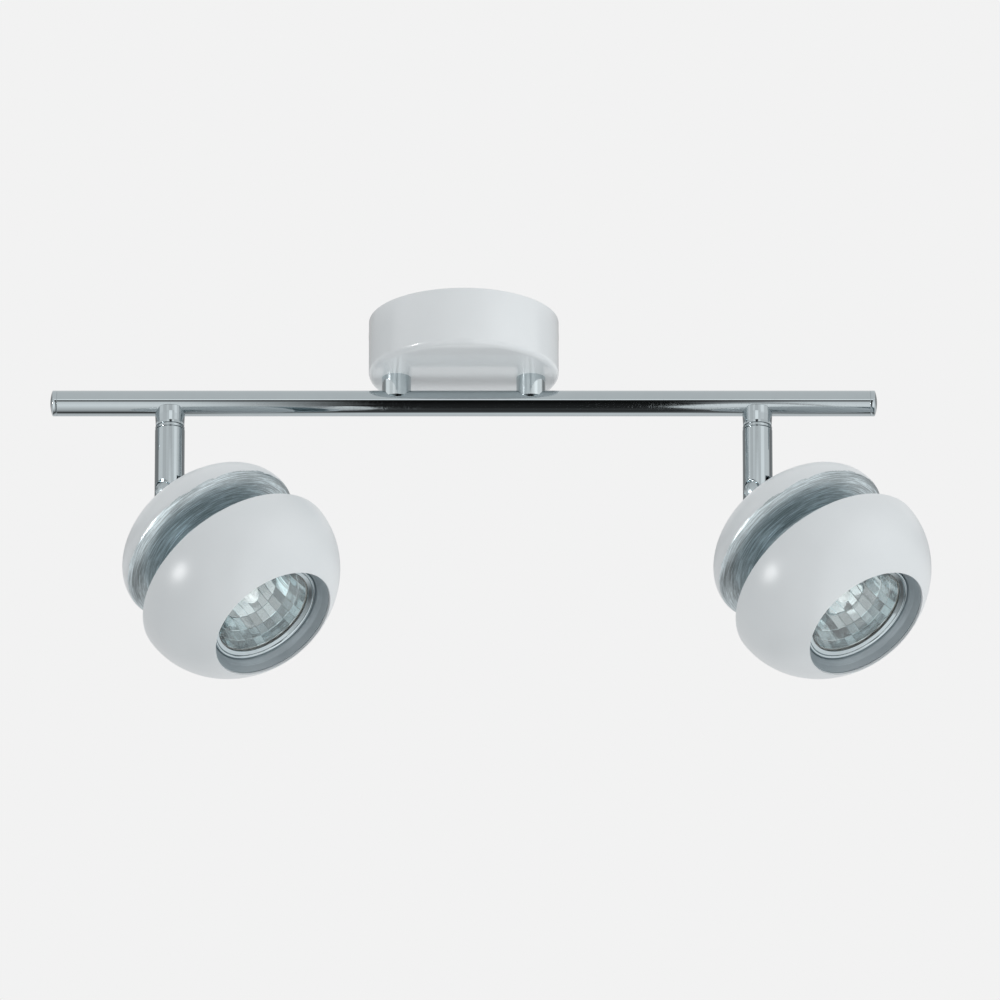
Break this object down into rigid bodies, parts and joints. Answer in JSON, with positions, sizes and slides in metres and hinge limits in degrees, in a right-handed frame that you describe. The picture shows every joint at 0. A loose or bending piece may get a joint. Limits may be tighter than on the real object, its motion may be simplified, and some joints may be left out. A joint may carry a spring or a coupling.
{
  "type": "pivoting spotlight",
  "caption": "Surface-fixed spotlight with a round white canopy, a straight metal bar and white hourglass heads that swivel and tilt.",
  "frame": {"origin": "centre of the strap's face that lies against the ceiling or wall, level with the canopy's rim", "axes": "+Z out of the mounting face into the ceiling or wall, +X along the bar, -Y towards the viewer of the picture"},
  "size_m": [0.4066, 0.1122, 0.1789],
  "materials": {
    "white_enamel": "gloss",
    "polished_nickel": "polished",
    "brushed_nickel": "brushed",
    "satin_sleeve": "satin",
    "bright_chrome": "polished",
    "lamp_mirror": "mirror",
    "clear_glass": "clear",
    "ceramic": "glazed ceramic",
    "zinc_steel": "zinc plated",
    "brass_parts": "plain",
    "terminal_plastic": "moulded",
    "washer_plastic": "moulded"
  },
  "bodies": {
    "root": {"bar_tube": "polished_nickel", "canopy": "white_enamel", "canopy_grub_screws": "zinc_steel", "earth_screw": "brass_parts", "left_end_cap": "polished_nickel", "left_pivot_nipple": "zinc_steel", "left_pivot_nut": "brass_parts", "left_post": "polished_nickel", "left_post_nipple": "zinc_steel", "left_saddle": "polished_nickel", "mounting_strap": "zinc_steel", "post_nuts": "zinc_steel", "post_washers": "zinc_steel", "right_end_cap": "polished_nickel", "right_pivot_nipple": "zinc_steel", "right_pivot_nut": "brass_parts", "right_post": "polished_nickel", "right_post_nipple": "zinc_steel", "right_saddle": "polished_nickel", "terminal_block": "terminal_plastic"},
    "left_stem": {"left_groove_ring": "polished_nickel", "left_stem_bush": "brass_parts", "left_stem": "polished_nickel", "left_hinge_washers": "washer_plastic", "left_hinge_screw": "polished_nickel", "left_hinge_nut": "zinc_steel"},
    "left_head": {"left_tongue": "polished_nickel", "left_head_nut": "zinc_steel", "left_rear_dome": "white_enamel", "left_waist": "brushed_nickel", "left_front_shell": "white_enamel", "left_inner_sleeve": "satin_sleeve", "left_lamp_retainer": "bright_chrome", "left_lamp_reflector": "lamp_mirror", "left_lamp_glass": "clear_glass", "left_lamp_capsule": "clear_glass", "left_lamp_base": "ceramic", "left_lamp_pins": "zinc_steel", "left_lampholder": "ceramic", "left_holder_bracket": "zinc_steel"},
    "right_stem": {"right_groove_ring": "polished_nickel", "right_stem_bush": "brass_parts", "right_stem": "polished_nickel", "right_hinge_washers": "washer_plastic", "right_hinge_screw": "polished_nickel", "right_hinge_nut": "zinc_steel"},
    "right_head": {"right_tongue": "polished_nickel", "right_head_nut": "zinc_steel", "right_rear_dome": "white_enamel", "right_waist": "brushed_nickel", "right_front_shell": "white_enamel", "right_inner_sleeve": "satin_sleeve", "right_lamp_retainer": "bright_chrome", "right_lamp_reflector": "lamp_mirror", "right_lamp_glass": "clear_glass", "right_lamp_capsule": "clear_glass", "right_lamp_base": "ceramic", "right_lamp_pins": "zinc_steel", "right_lampholder": "ceramic", "right_holder_bracket": "zinc_steel"}
  },
  "joints": [
    {"name": "left_swivel", "type": "hinge", "parent": "root", "child": "left_stem", "pos_m": [-0.1359, 0, -0.0538], "axis": [0, 0, 1], "range_deg": [-223.3, 106.7]},
    {"name": "left_tilt", "type": "hinge", "parent": "left_stem", "child": "left_head", "pos_m": [-0.1359, 0, -0.0844], "axis": [-0.5255, -0.8508, 0], "range_deg": [-37, 38]},
    {"name": "right_swivel", "type": "hinge", "parent": "root", "child": "right_stem", "pos_m": [0.1359, 0, -0.0538], "axis": [0, 0, 1], "range_deg": [-223.3, 106.7]},
    {"name": "right_tilt", "type": "hinge", "parent": "right_stem", "child": "right_head", "pos_m": [0.1359, 0, -0.0844], "axis": [-0.5255, -0.8508, 0], "range_deg": [-37, 38]}
  ]
}
